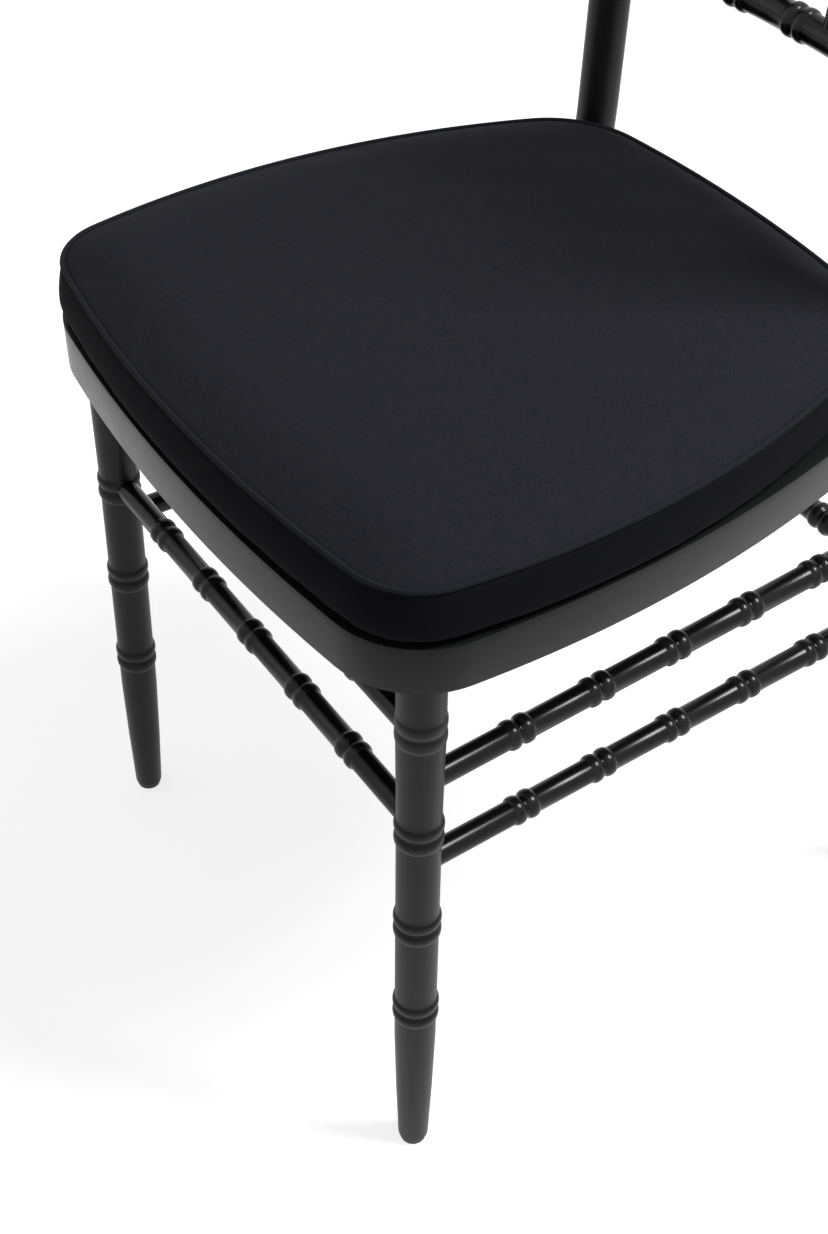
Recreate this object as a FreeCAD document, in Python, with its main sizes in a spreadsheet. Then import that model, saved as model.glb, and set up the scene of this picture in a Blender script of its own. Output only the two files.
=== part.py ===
import FreeCAD, Part
import math
import os
import Sketcher
from FreeCAD import Placement, Rotation, Vector

# Black banquet side chair of the bamboo-turned kind: two straight front legs, two bent
# posts that run from the floor to the crest, beaded stretchers, a bowed seat frame with
# a plywood panel, a beaded spindle back and a loose boxed cushion.
# Origin on the floor, on the middle plane. +X is the sitter's left, -Y the front, +Z up.

os.makedirs("parts", exist_ok=True)
doc = FreeCAD.newDocument("banquet_chair")

# Driving dimensions, in millimetres.
SIZES = [
    # seat frame, seen from above: front, sides and back are flat arcs, the corners round
    ("frame_bottom", 414.4), ("frame_height", 30.3), ("rail_width", 36.0),
    ("frame_front", 245.4), ("frame_front_arc", 1100.0),
    ("frame_half_width", 198.5), ("frame_side_place", 112.4), ("frame_side_arc", 797.0),
    ("frame_back", 155.6), ("frame_back_arc", 800.0),
    ("frame_front_corner", 45.0), ("frame_rear_corner", 52.0),
    ("frame_edge", 1.2), ("rabbet_width", 10.0), ("panel_thickness", 5.0),
    # loose cushion: same kind of outline, its piping set in from the frame's edge
    ("cushion_front_inset", 3.5), ("cushion_front_arc", 930.0),
    ("cushion_side_inset", 2.5), ("cushion_side_shift", 8.0), ("cushion_side_arc", 470.0),
    ("cushion_back_inset", 8.0), ("cushion_back_arc", 784.0),
    ("cushion_front_corner", 49.0), ("cushion_rear_corner", 60.0),
    ("cushion_boxing", 31.0), ("cushion_crown", 10.5), ("cushion_tuck", 5.0),
    ("crown_shoulder", 19.0), ("crown_flat", 41.0), ("cover_thickness", 1.0),
    ("foam_edge", 3.0),
    ("board_thickness", 4.0), ("welt_thickness", 4.4), ("strip_thickness", 1.1),
    ("strip_length", 180.0), ("strip_width", 25.0), ("strip_inset", 78.5),
    ("strip_setback", -27.4), ("cushion_belly", 2.0), ("crown_rise", 6.5),
    # front legs: foot in from the frame's edges, and the lean towards the seat
    ("front_foot_inset", 13.0), ("front_foot_setback", 38.0), ("front_lean_in", 11.4),
    ("front_lean_back", 6.0), ("leg_top_diameter", 26.7), ("leg_diameter", 25.4),
    ("foot_diameter", 19.6), ("foot_taper", 112.0), ("ring_diameter", 28.0),
    ("ring_drop", 36.5), ("ring_pitch", 78.6), ("ring_pair", 19.0), ("ring_groove", 1.1),
    # bent posts: foot, knee under the seat, hip at the cushion, then the back's sweep;
    # their places are taken from the frame's sides and back edge
    ("post_diameter", 26.0), ("rear_foot_inset", 8.5), ("rear_foot_reach", 80.5),
    ("knee_inset", 37.5), ("knee_setback", 6.0), ("knee_drop", 76.4), ("knee_bend", 450.0),
    ("hip_inset", 52.5), ("hip_setback", 6.5), ("hip_rise", 23.3), ("hip_bend", 300.0),
    ("hip_spread", 9.0), ("back_lean", 0.025), ("sweep_rise", 92.0),
    ("sweep_radius", 2000.0), ("post_end", 19.0), ("dome_height", 5.0),
    # stretchers, hung below the frame
    ("stretcher_diameter", 14.8), ("stretcher_ring", 17.2), ("stretcher_pair", 18.0),
    ("front_upper_drop", 43.4), ("front_lower_drop", 113.4),
    ("side_upper_drop", 79.8), ("side_lower_drop", 143.7),
    ("front_pitch", 55.3), ("rear_pitch", 52.0), ("side_pitch", 56.6),
    # back rails and spindles
    ("back_rail_diameter", 17.3), ("back_rail_ring", 19.4), ("back_rail_bow", 650.0),
    ("rail_end", 2.0), ("lower_rail_rise", 141.3), ("rail_gap", 59.0),
    ("crest_rail_height", 893.0), ("spindle_diameter", 12.6), ("spindle_ring", 14.8),
    ("spindle_end", 11.1),
    # hardware
    ("glide_diameter", 17.0), ("glide_height", 3.0), ("bolt_diameter", 6.0),
    ("bolt_head", 12.0), ("bolt_head_height", 3.2), ("bolt_sink", 1.0),
    ("bolt_in_leg", 28.0), ("bolt_in_post", 17.0), ("insert_diameter", 10.0),
    ("insert_length", 14.0), ("block_depth", 16.0), ("block_span", 140.0),
    ("block_height", 20.0), ("block_lift", 2.0),
    # fits
    ("seat_gap", 0.15), ("panel_gap", 0.4), ("rest_gap", 0.3), ("bore_gap", 0.2),
]
STRETCHER_RINGS = 5
SPINDLES = 6

# Turned members have this many flat sides, so that the many double rings stay light.
LEG_SIDES = 14
STRETCHER_SIDES = 10
SPINDLE_SIDES = 8

# Shares of height and radius that round off the top of a post.
DOME = ((0.6, 0.82), (1.0, 0.45))
# Where a spindle has reached its full width, as a share of its length.
SPINDLE_SWELL = 0.3
# How far the saw that mitres the frame stands out below and above it.
SAW_MARGIN = 10.0
# Depth of the way left open for a bolt's head, in heads.
HEAD_ROOM = 4

sheet = doc.addObject("Spreadsheet::Sheet", "Sizes")
for row, (alias, number) in enumerate(SIZES, start=1):
    sheet.set("A%d" % row, alias)
    sheet.set("B%d" % row, str(number))
    sheet.setAlias("B%d" % row, alias)
doc.recompute()


class Size:
    """A length with its number and the sheet formula that gives it."""

    def __init__(self, number, formula):
        self.number = number
        self.formula = formula

    def join(self, other, sign, number):
        formula = other.formula if isinstance(other, Size) else repr(float(other))
        return Size(number, "(%s %s %s)" % (self.formula, sign, formula))

    def __add__(self, other):
        return self.join(other, "+", self.number + float(other))

    def __sub__(self, other):
        return self.join(other, "-", self.number - float(other))

    def __mul__(self, other):
        return self.join(other, "*", self.number * float(other))

    def __truediv__(self, other):
        return self.join(other, "/", self.number / float(other))

    def __neg__(self):
        return self * -1

    def __float__(self):
        return float(self.number)


class Sheet:
    """Sizes by their alias."""

    def __getattr__(self, alias):
        return Size(float(sheet.get(alias)), "Sizes." + alias)


def given(number):
    """A length worked out from placed pieces rather than kept in the sheet."""
    return Size(float(number), repr(float(number)))


S = Sheet()
ZERO = given(0)

# Heights and places that follow the seat frame.
frame_top = S.frame_bottom + S.frame_height
front_foot = (S.frame_half_width - S.front_foot_inset, -S.frame_front + S.front_foot_setback)
rear_foot = (S.frame_half_width - S.rear_foot_inset, S.frame_back + S.rear_foot_reach)
knee_x = S.frame_half_width - S.knee_inset
knee_y = S.frame_back - S.knee_setback
knee_height = S.frame_bottom - S.knee_drop
hip_x = S.frame_half_width - S.hip_inset
hip_y = S.frame_back - S.hip_setback
hip_height = frame_top + S.hip_rise
sweep_start = hip_height + S.sweep_rise
lower_rail_height = frame_top + S.lower_rail_rise
middle_rail_height = S.crest_rail_height - S.rail_gap
post_top = S.crest_rail_height + S.post_end
ring_top = S.frame_bottom - S.ring_drop
front_upper_height = S.frame_bottom - S.front_upper_drop
front_lower_height = S.frame_bottom - S.front_lower_drop
side_upper_height = S.frame_bottom - S.side_upper_drop
side_lower_height = S.frame_bottom - S.side_lower_drop
strip_place = S.frame_half_width - S.strip_inset
# the outermost spindles stand half a pitch inside the end of a back rail
rail_pitch = (hip_x - S.rail_end) * 2 / SPINDLES


def bind(thing, key, size):
    thing.setExpression(key, size.formula)


def new_sketch(body, name, height):
    """Level sketch at a height."""
    ground = [f for f in body.Origin.OriginFeatures if f.Role == "XY_Plane"][0]
    sketch = body.newObject("Sketcher::SketchObject", name)
    sketch.AttachmentSupport = (ground, [""])
    sketch.MapMode = "FlatFace"
    sketch.AttachmentOffset = Placement(Vector(0, 0, float(height)), Rotation())
    sketch.setExpression("AttachmentOffset.Base.z", height.formula)
    return sketch


def dimension(sketch, kind, *where):
    """Adds a driven-by-formula dimension; the last argument is its Size."""
    size = where[-1]
    index = sketch.addConstraint(Sketcher.Constraint(kind, *where[:-1], float(size)))
    name = "d%d" % index
    sketch.renameConstraint(index, name)
    sketch.setExpression("Constraints." + name, size.formula)


def pad(body, sketch, name, length):
    feature = body.newObject("PartDesign::Pad", name)
    feature.Profile = sketch
    feature.Length = float(length)
    bind(feature, "Length", length)
    return feature


def pocket(body, sketch, name, depth):
    feature = body.newObject("PartDesign::Pocket", name)
    feature.Profile = sketch
    feature.Length = float(depth)
    bind(feature, "Length", depth)
    return feature


# Turned members: a profile of radii carried along a line or a bent path, with flat sides.

def facet(corners):
    return Part.Face(Part.makePolygon(corners + corners[:1]))


def meet(start, end, point, normal):
    """Where the line through start and end crosses a plane."""
    way = end - start
    return start + way * ((point - start).dot(normal) / way.dot(normal))


def marks_along(path):
    """Distance along a path of each of its points."""
    marks = [0.0]
    for i in range(len(path) - 1):
        marks.append(marks[-1] + (path[i + 1] - path[i]).Length)
    return marks


def turned(path, profile, sides, level_start=False, level_end=False):
    """Solid turned to profile along path.

    path is a list of points. profile is a list of (distance along path, radius). A bend
    has one distance of the profile on it, and its section lies on the mitre plane there.
    The ends are square to the path, or level where that is asked.
    """
    ways = [(path[i + 1] - path[i]).normalize() for i in range(len(path) - 1)]
    marks = marks_along(path)
    across = Vector(1, 0, 0).cross(ways[0])
    if across.Length < 0.1:
        across = Vector(0, 1, 0).cross(ways[0])
    across.normalize()

    def section(leg, side, distance, radius):
        point = path[leg] + ways[leg] * (distance - marks[leg])
        other = ways[leg].cross(side)
        turns = [2 * math.pi * (k + 0.5) / sides for k in range(sides)]
        return point, [point + side * (radius * math.cos(t)) + other * (radius * math.sin(t))
                       for t in turns]

    faces = []
    leg = 0
    first, last = None, None
    for i in range(len(profile) - 1):
        (near, near_radius), (far, far_radius) = profile[i], profile[i + 1]
        while leg < len(ways) - 1 and near > marks[leg + 1] - 0.01:
            leg += 1
            across = Rotation(ways[leg - 1], ways[leg]).multVec(across)
        near_point, a = section(leg, across, near, near_radius)
        far_point, b = section(leg, across, far, far_radius)
        planes = []
        for point, distance, ends in ((near_point, near, i == 0 and level_start),
                                      (far_point, far, i == len(profile) - 2 and level_end)):
            normal = ways[leg]
            if abs(distance - marks[leg]) < 0.01 and leg > 0:
                normal = ways[leg] + ways[leg - 1]
            if abs(distance - marks[leg + 1]) < 0.01 and leg < len(ways) - 1:
                normal = ways[leg] + ways[leg + 1]
            planes.append((point, Vector(0, 0, 1) if ends else normal))
        low = [meet(p, q, *planes[0]) for p, q in zip(a, b)]
        high = [meet(p, q, *planes[1]) for p, q in zip(a, b)]
        if first is None:
            first = low
        last = high
        for k in range(sides):
            n = (k + 1) % sides
            faces.append(facet([low[k], low[n], high[n], high[k]]))
    faces.append(facet(first[::-1]))
    faces.append(facet(last))
    shell = Part.makeShell(faces)
    shell.sewShape()
    solid = Part.Solid(shell)
    return solid if solid.Volume > 0 else solid.reversed()


def double_ring(at, ridge, base, pair):
    """Profile of a pair of ridges with a groove between them, centred at a distance."""
    pair = float(pair)
    return [(at - pair / 2, base), (at - pair / 4, ridge), (at, ridge - float(S.ring_groove)),
            (at + pair / 4, ridge), (at + pair / 2, base)]


def ringed(length, radius, ridge, centres):
    """Profile of an even rod with double rings."""
    profile = [(0, radius)]
    for at in centres:
        profile += double_ring(at, ridge, radius, S.stretcher_pair)
    return profile + [(length, radius)]


def shaped(name, solid, placement=None):
    thing = doc.addObject("Part::Feature", name)
    thing.Shape = solid
    if placement is not None:
        thing.Placement = placement
    return thing


def along(start, end):
    """Placement with its origin at start and its Z axis towards end."""
    return Placement(start, Rotation(Vector(0, 0, 1), end - start))


def prism(name, sides, radius, height, placement):
    bar = doc.addObject("Part::Prism", name)
    bar.Polygon = sides
    bar.Circumradius = float(radius)
    bar.Height = float(height)
    bind(bar, "Circumradius", radius)
    bind(bar, "Height", height)
    bar.Placement = placement
    return bar


def box(name, length, width, height, placement):
    block = doc.addObject("Part::Box", name)
    for key, size in (("Length", length), ("Width", width), ("Height", height)):
        setattr(block, key, float(size))
        bind(block, key, size)
    block.Placement = placement
    return block


def cut(name, base, tool):
    result = doc.addObject("Part::Cut", name)
    result.Base = base
    result.Tool = tool
    return result


def common(name, base, tool):
    result = doc.addObject("Part::Common", name)
    result.Base = base
    result.Tool = tool
    return result


def fuse(name, shapes):
    result = doc.addObject("Part::MultiFuse", name)
    result.Shapes = shapes
    return result


NODES = []


def node(name, thing):
    thing.Label = name
    NODES.append(thing)
    return thing


# Bent post: straight leg, bend at the knee, bend at the hip, straight, then the back's
# sweep. The axis is a chain of lines and tangent arcs.

def post_corners(side):
    foot = Vector(side * float(rear_foot[0]), float(rear_foot[1]), 0)
    knee = Vector(side * float(knee_x), float(knee_y), float(knee_height))
    hip = Vector(side * float(hip_x), float(hip_y), float(hip_height))
    rise = float(S.sweep_rise)
    sweep = hip + Vector(0, float(S.back_lean) * rise, rise)
    return foot, knee, hip, sweep


def rounded(before, corner, after, radius):
    """Tangent arc of the given radius at a corner, as its three points."""
    a = (before - corner).normalize()
    b = (after - corner).normalize()
    half = a.getAngle(b) / 2
    reach = radius / math.tan(half)
    centre = corner + (a + b).normalize() * (radius / math.sin(half))
    middle = centre + (corner - centre).normalize() * radius
    return corner + a * reach, middle, corner + b * reach


def post_axis(side):
    """Edges of the post's axis from the floor to the top."""
    foot, knee, hip, sweep = post_corners(side)
    k0, k1, k2 = rounded(foot, knee, hip, float(S.knee_bend))
    h0, h1, h2 = rounded(knee, hip, sweep, float(S.hip_bend))
    lean = Vector(0, float(S.back_lean), 1).normalize()
    back = Vector(0, 1, -float(S.back_lean)).normalize()
    radius = float(S.sweep_radius)
    angle = (float(post_top) - sweep.z) / radius
    def swept(a):
        return sweep + back * (radius * (1 - math.cos(a))) + lean * (radius * math.sin(a))
    return [
        Part.LineSegment(foot, k0).toShape(), Part.Arc(k0, k1, k2).toShape(),
        Part.LineSegment(k2, h0).toShape(), Part.Arc(h0, h1, h2).toShape(),
        Part.LineSegment(h2, sweep).toShape(),
        Part.Arc(sweep, swept(angle / 2), swept(angle)).toShape(),
    ]


def axis_at(edges, height):
    """Point and direction of a rising axis at a height."""
    for edge in edges:
        low, high = edge.ParameterRange
        if edge.valueAt(low).z > edge.valueAt(high).z:
            low, high = high, low
        if edge.valueAt(high).z < height and edge is not edges[-1]:
            continue
        for _ in range(40):
            middle = (low + high) / 2
            if edge.valueAt(middle).z < height:
                low = middle
            else:
                high = middle
        point = edge.valueAt(low)
        direction = edge.tangentAt(low)
        return point, direction if direction.z > 0 else direction * -1
    return None


RING_HEIGHTS = [float(ring_top - S.ring_pitch * i) for i in range(4)]


def post_path(side):
    """Points of the post's axis, with a bend at each ring and rail that lies in a curve."""
    edges = post_axis(side)
    knee = (RING_HEIGHTS[0] + RING_HEIGHTS[1]) / 2
    heights = [RING_HEIGHTS[1], knee, RING_HEIGHTS[0], float(hip_height - S.hip_spread),
               float(hip_height + S.hip_spread), float(sweep_start)]
    heights += post_ring_heights()
    heights += [float(middle_rail_height)]
    foot = edges[0].valueAt(edges[0].FirstParameter)
    top = edges[-1].valueAt(edges[-1].LastParameter)
    return [foot] + [axis_at(edges, height)[0] for height in heights] + [top]


def post_ring_heights():
    """Double rings of the back: at the quarters between the lower two rails."""
    gap = float(middle_rail_height - lower_rail_height) / 4
    return [float(lower_rail_height) + gap * i for i in (1, 2, 3)]


def distance_at(path, height):
    """Distance along a rising path at a height."""
    gone = 0.0
    for i in range(len(path) - 1):
        low, high = path[i], path[i + 1]
        if height <= high.z + 0.001:
            return gone + (high - low).Length * (height - low.z) / (high.z - low.z)
        gone += (high - low).Length
    return gone


def bent_post(name, side):
    path = post_path(side)
    radius = float(S.post_diameter) / 2
    profile = [(distance_at(path, float(S.glide_height)), float(S.foot_diameter) / 2),
               (distance_at(path, float(S.foot_taper)), radius)]
    rings = RING_HEIGHTS + post_ring_heights()
    bends = [point.z for point in path[1:-1] if min(abs(point.z - z) for z in rings) > 0.01]
    for height in sorted(rings + bends):
        at = distance_at(path, height)
        if height in bends:
            profile.append((at, radius))
        else:
            profile += double_ring(at, float(S.ring_diameter) / 2, radius, S.ring_pair)
    end = distance_at(path, path[-1].z)
    profile.append((end, radius))
    profile += [(end + float(S.dome_height) * up, radius * share) for up, share in DOME]
    return shaped(name, turned(path, profile, LEG_SIDES, level_start=True))


def post_cutter(name, side, radius):
    """Stretch of a post from its taper to its top, thick enough for a gap."""
    path = post_path(side)
    starts = [distance_at(path, float(S.foot_taper))] + marks_along(path)[1:]
    profile = [(start, float(radius)) for start in starts]
    return shaped(name, turned(path, profile, LEG_SIDES))


# Seat outline: eight arcs, each tangent to the next.

# reach to the front, half width, place of the widest point, reach to the back
REACH = {
    "frame": (S.frame_front, S.frame_half_width, S.frame_side_place, S.frame_back),
    "cushion": (S.frame_front - S.cushion_front_inset,
                S.frame_half_width - S.cushion_side_inset,
                S.frame_side_place - S.cushion_side_shift,
                S.frame_back - S.cushion_back_inset),
}


class Outline:
    """Arc centres and radii of a seat outline drawn in by inset."""

    def __init__(self, kind, inset):
        def size(key):
            return getattr(S, kind + "_" + key)
        front, half_width, side_place, back = REACH[kind]
        self.front = (ZERO, size("front_arc") - front, size("front_arc") - inset)
        self.side = (half_width - size("side_arc"), -side_place, size("side_arc") - inset)
        self.back = (ZERO, back - size("back_arc"), size("back_arc") - inset)
        self.front_corner = size("front_corner") - inset
        self.rear_corner = size("rear_corner") - inset

    def corner(self, one, two, radius):
        """Centre of a corner arc tangent inside two big arcs, on the sitter's left."""
        x1, y1, r1 = [float(n) for n in one]
        x2, y2, r2 = [float(n) for n in two]
        a = r1 - float(radius)
        b = r2 - float(radius)
        d = math.hypot(x2 - x1, y2 - y1)
        along_line = (a * a - b * b + d * d) / (2 * d)
        off_line = math.sqrt(max(a * a - along_line * along_line, 0))
        ux, uy = (x2 - x1) / d, (y2 - y1) / d
        spots = []
        for sign in (1, -1):
            spots.append(Vector(x1 + ux * along_line - uy * off_line * sign,
                                y1 + uy * along_line + ux * off_line * sign, 0))
        return max(spots, key=lambda p: p.x)

    def arcs(self):
        """(centre, radius Size, start angle, end angle) round the outline from the front."""
        left_front = self.corner(self.front, self.side, self.front_corner)
        left_rear = self.corner(self.side, self.back, self.rear_corner)
        def mirrored(p):
            return Vector(-p.x, p.y, 0)
        big = [Vector(float(x), float(y), 0) for x, y, _ in (self.front, self.side, self.back)]
        centres = [big[0], left_front, big[1], left_rear, big[2], mirrored(left_rear),
                   mirrored(big[1]), mirrored(left_front)]
        radii = [self.front[2], self.front_corner, self.side[2], self.rear_corner,
                 self.back[2], self.rear_corner, self.side[2], self.front_corner]
        turns = []
        for i in range(8):
            this, after = i, (i + 1) % 8
            wide, small = (this, after) if i % 2 == 0 else (after, this)
            ray = centres[small] - centres[wide]
            turns.append(math.atan2(ray.y, ray.x))
        result = []
        for i in range(8):
            start, end = turns[i - 1], turns[i]
            while end < start:
                end += 2 * math.pi
            result.append((centres[i], radii[i], start, end))
        return result


def outline_sketch(body, name, kind, inset, height):
    sketch = new_sketch(body, name, height)
    add_outline(sketch, Outline(kind, inset))
    return sketch


def add_outline(sketch, shape):
    first = sketch.GeometryCount
    for centre, radius, start, end in shape.arcs():
        circle = Part.Circle(centre, Vector(0, 0, 1), float(radius))
        sketch.addGeometry(Part.ArcOfCircle(circle, start, end), False)
    for i in range(8):
        after = first + (i + 1) % 8
        sketch.addConstraint(Sketcher.Constraint("Tangent", first + i, 2, after, 1))
    for i, (x, y, radius) in ((0, shape.front), (4, shape.back)):
        sketch.addConstraint(Sketcher.Constraint("PointOnObject", first + i, 3, -2))
        dimension(sketch, "DistanceY", -1, 1, first + i, 3, y)
        dimension(sketch, "Radius", first + i, radius)
    for i, way in ((2, 1), (6, -1)):
        x, y, radius = shape.side
        dimension(sketch, "DistanceX", -1, 1, first + i, 3, x * way)
        dimension(sketch, "DistanceY", -1, 1, first + i, 3, y)
        dimension(sketch, "Radius", first + i, radius)
    for i, radius in ((1, shape.front_corner), (3, shape.rear_corner),
                      (5, shape.rear_corner), (7, shape.front_corner)):
        dimension(sketch, "Radius", first + i, radius)


# Front legs: turned in one piece, sawn level under the frame and above the glide.

def front_axis(side, height):
    share = height / float(S.frame_bottom)
    x = float(front_foot[0]) - float(S.front_lean_in) * share
    y = float(front_foot[1]) + float(S.front_lean_back) * share
    return Vector(side * x, y, height)


def front_path(side):
    return [front_axis(side, 0), front_axis(side, float(S.frame_bottom))]


def front_leg(name, side):
    path = front_path(side)
    radius, top_radius = float(S.leg_diameter) / 2, float(S.leg_top_diameter) / 2
    profile = [(distance_at(path, float(S.glide_height)), float(S.foot_diameter) / 2),
               (distance_at(path, float(S.foot_taper)), radius)]
    for i in (3, 2, 1, 0):
        base = radius if i > 1 else (radius + top_radius) / 2
        profile += double_ring(distance_at(path, RING_HEIGHTS[i]), float(S.ring_diameter) / 2,
                               top_radius if i == 0 else base, S.ring_pair)
    profile.append((distance_at(path, float(S.frame_bottom)), top_radius))
    return shaped(name, turned(path, profile, LEG_SIDES, True, True))


def leg_cutter(name, side, low, high, gap):
    """Upper stretch of a front leg with a radius low down and another higher up."""
    path = front_path(side)
    middle = (float(low) + float(high)) / 2 + float(gap)
    profile = [(distance_at(path, float(S.foot_taper)), float(low + gap)),
               (distance_at(path, RING_HEIGHTS[2]), float(low + gap)),
               (distance_at(path, RING_HEIGHTS[1]), middle),
               (distance_at(path, RING_HEIGHTS[0]), float(high + gap)),
               (distance_at(path, float(S.frame_bottom)), float(high + gap))]
    return shaped(name, turned(path, profile, LEG_SIDES))


SIDES = ((1, "left"), (-1, "right"))
front_legs = {side: front_leg("leg_turned_" + word, side) for side, word in SIDES}
posts = {side: bent_post("post_turned_" + word, side) for side, word in SIDES}


# Stretchers: a rod between two legs with five double rings, coped to the legs at both
# ends.

saddles = {}
for side, word in SIDES:
    saddles["front", side, "rod"] = leg_cutter("saddle_leg_" + word, side,
                                               S.leg_diameter / 2, S.leg_top_diameter / 2,
                                               S.seat_gap)
    saddles["front", side, "ring"] = leg_cutter("saddle_leg_ring_" + word, side,
                                                S.ring_diameter / 2, S.ring_diameter / 2,
                                                S.seat_gap)
    saddles["rear", side, "rod"] = post_cutter("saddle_post_" + word, side,
                                               S.post_diameter / 2 + S.seat_gap)
    saddles["rear", side, "ring"] = post_cutter("saddle_post_ring_" + word, side,
                                                S.ring_diameter / 2 + S.seat_gap)


def joint(end, side, height):
    """Point of a leg's axis at a height."""
    if end == "front":
        return front_axis(side, float(height))
    path = post_path(side)
    for i in range(len(path) - 1):
        if path[i + 1].z >= float(height):
            share = (float(height) - path[i].z) / (path[i + 1].z - path[i].z)
            return path[i] + (path[i + 1] - path[i]) * share
    return path[-1]


def stretcher(name, ends, height, pitch, where):
    a, b = [joint(end, side, height) for end, side in ends]
    length = (b - a).Length
    centres = [length / 2 + float(pitch) * (i - (STRETCHER_RINGS - 1) / 2)
               for i in range(STRETCHER_RINGS)]
    profile = ringed(length, float(S.stretcher_diameter) / 2, float(S.stretcher_ring) / 2,
                     centres)
    piece = shaped(name + "_turned", turned([Vector(0, 0, 0), Vector(0, 0, length)], profile,
                                            STRETCHER_SIDES), along(a, b))
    for i, (end, side) in enumerate(ends):
        piece = cut("%s_coped%d" % (name, i), piece, saddles[end, side, where])
    return node(name, piece)


across_front = (("front", -1), ("front", 1))
across_rear = (("rear", -1), ("rear", 1))
stretcher("front_stretcher_upper", across_front, front_upper_height, S.front_pitch, "ring")
stretcher("front_stretcher_lower", across_front, front_lower_height, S.front_pitch, "ring")
stretcher("rear_stretcher_upper", across_rear, front_upper_height, S.rear_pitch, "ring")
stretcher("rear_stretcher_lower", across_rear, front_lower_height, S.rear_pitch, "ring")
for side, word in SIDES:
    ends = (("front", side), ("rear", side))
    stretcher("side_stretcher_upper_" + word, ends, side_upper_height, S.side_pitch, "rod")
    stretcher("side_stretcher_lower_" + word, ends, side_lower_height, S.side_pitch, "rod")


# Back: three bowed rails between the posts, and spindles standing between the lower two.

def bow_point(height, across):
    """Point of a back rail's bowed axis at a distance from the middle plane."""
    end = joint("rear", 1, height)
    radius = float(S.back_rail_bow)
    sag = math.sqrt(radius ** 2 - across ** 2) - math.sqrt(radius ** 2 - end.x ** 2)
    return Vector(across, end.y + sag, end.z)


def bow_path(height):
    end = joint("rear", 1, height)
    places = [float(rail_pitch) * (i - (STRETCHER_RINGS - 1) / 2)
              for i in range(STRETCHER_RINGS)]
    return [bow_point(height, x) for x in [-end.x] + places + [end.x]]


def back_rail(name, height):
    path = bow_path(height)
    radius = float(S.back_rail_diameter) / 2
    marks = marks_along(path)
    profile = ringed(marks[-1], radius, float(S.back_rail_ring) / 2, marks[1:-1])
    rail = shaped(name + "_turned", turned(path, profile, STRETCHER_SIDES))
    for side, word in SIDES:
        rail = cut("%s_coped_%s" % (name, word), rail, saddles["rear", side, "rod"])
    return node(name, rail)


back_rail("back_rail_lower", lower_rail_height)
back_rail("back_rail_middle", middle_rail_height)
back_rail("back_rail_crest", S.crest_rail_height)

rail_saddles = []
for height, word in ((lower_rail_height, "lower"), (middle_rail_height, "middle")):
    path = bow_path(height)
    radius = float(S.back_rail_diameter / 2 + S.seat_gap)
    profile = [(mark, radius) for mark in marks_along(path)]
    rail_saddles.append(shaped("saddle_rail_" + word, turned(path, profile, STRETCHER_SIDES)))


def spindle(name, across):
    low = bow_point(lower_rail_height, across)
    high = bow_point(middle_rail_height, across)
    length = (high - low).Length
    radius = float(S.spindle_diameter) / 2
    end = float(S.spindle_end) / 2
    profile = [(0, end), (length * SPINDLE_SWELL, radius)]
    profile += double_ring(length / 2, float(S.spindle_ring) / 2, radius, S.stretcher_pair)
    profile += [(length * (1 - SPINDLE_SWELL), radius), (length, end)]
    piece = shaped(name + "_turned", turned([Vector(0, 0, 0), Vector(0, 0, length)], profile,
                                            SPINDLE_SIDES), along(low, high))
    for i, saddle in enumerate(rail_saddles):
        piece = cut("%s_coped%d" % (name, i), piece, saddle)
    return node(name, piece)


for i in range(SPINDLES):
    spindle("back_spindle_%d" % (i + 1), float(rail_pitch) * (i - (SPINDLES - 1) / 2))


# Seat frame: a bowed ring mitred into four rails, rabbeted for the panel and saddled
# round the posts.

ring = doc.addObject("PartDesign::Body", "frame_ring")
plan = outline_sketch(ring, "frame_plan", "frame", ZERO, S.frame_bottom)
add_outline(plan, Outline("frame", S.rail_width))
pad(ring, plan, "frame_pad", S.frame_height)
doc.recompute()
rabbet = outline_sketch(ring, "rabbet_plan", "frame", S.rail_width - S.rabbet_width, frame_top)
pocket(ring, rabbet, "rabbet", S.panel_thickness)
doc.recompute()

outer_radii = [float(arc[1]) for arc in Outline("frame", ZERO).arcs()]
rabbeted = ring.Tip
edge_names = []
for i, edge in enumerate(rabbeted.Shape.Edges):
    level = all(abs(v.Z - float(frame_top)) < 0.001 for v in edge.Vertexes)
    if level and min(abs(edge.Curve.Radius - radius) for radius in outer_radii) < 0.001:
        edge_names.append("Edge%d" % (i + 1))
eased = ring.newObject("PartDesign::Chamfer", "eased_edges")
eased.Base = (rabbeted, edge_names)
eased.Size = float(S.frame_edge)
bind(eased, "Size", S.frame_edge)
doc.recompute()

frame_corners = Outline("frame", ZERO).arcs()
corner_centres = {
    ("front", 1): frame_corners[1][0], ("front", -1): frame_corners[7][0],
    ("rear", 1): frame_corners[3][0], ("rear", -1): frame_corners[5][0],
}
heart = Vector(0, (corner_centres["front", 1].y + corner_centres["rear", 1].y) / 2, 0)


def mitre_wedge(name, one, two):
    """Prism from the middle of the seat out between two mitre lines."""
    base = heart + Vector(0, 0, float(S.frame_bottom) - SAW_MARGIN)
    reach = float(S.frame_half_width) * 4
    ways = [corner_centres[where] - heart for where in (one, two)]
    outline = [base] + [base + way.normalize() * reach for way in ways]
    return shaped(name, facet(outline).extrude(
        Vector(0, 0, float(S.frame_height) + 2 * SAW_MARGIN)))


def bolt(name, seat, tip, radius, head_radius, head_height):
    """Shank from seat to tip with its head behind the seat."""
    behind = seat + (seat - tip).normalize() * float(head_height)
    head = prism(name + "_head", 6, head_radius, head_height, along(seat, behind))
    shank = prism(name + "_shank", 8, radius, given((seat - tip).Length), along(tip, seat))
    return fuse(name, [head, shank])


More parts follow.
